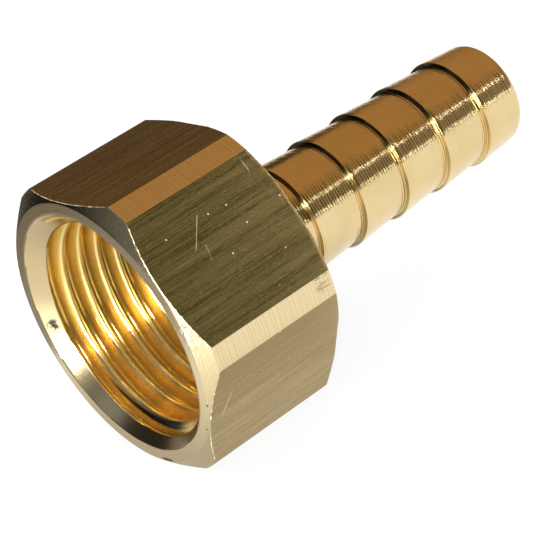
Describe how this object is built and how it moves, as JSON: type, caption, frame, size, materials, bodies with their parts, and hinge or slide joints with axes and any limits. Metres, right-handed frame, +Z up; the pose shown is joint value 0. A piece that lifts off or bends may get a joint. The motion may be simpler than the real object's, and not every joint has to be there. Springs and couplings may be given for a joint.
{
  "type": "hose barb tail",
  "caption": "Hexagonal female-thread pipe adaptor with a ribbed hose spigot, turned from one piece of brass, with a bore right through.",
  "frame": {"origin": "on the surface it lies on, under the middle of its length and under the bore's axis, which is 12 mm up", "axes": "+X along the bore from the threaded mouth to the hose tip, +Z up through the upper wrench flat, +Y to the left when looking along +X"},
  "size_m": [0.0438, 0.0266, 0.024],
  "materials": {
    "brass": "bare metal, drawn lengthwise on the wrench flats and turned everywhere else"
  },
  "bodies": {
    "root": {"hose_tail": "brass"}
  },
  "joints": []
}
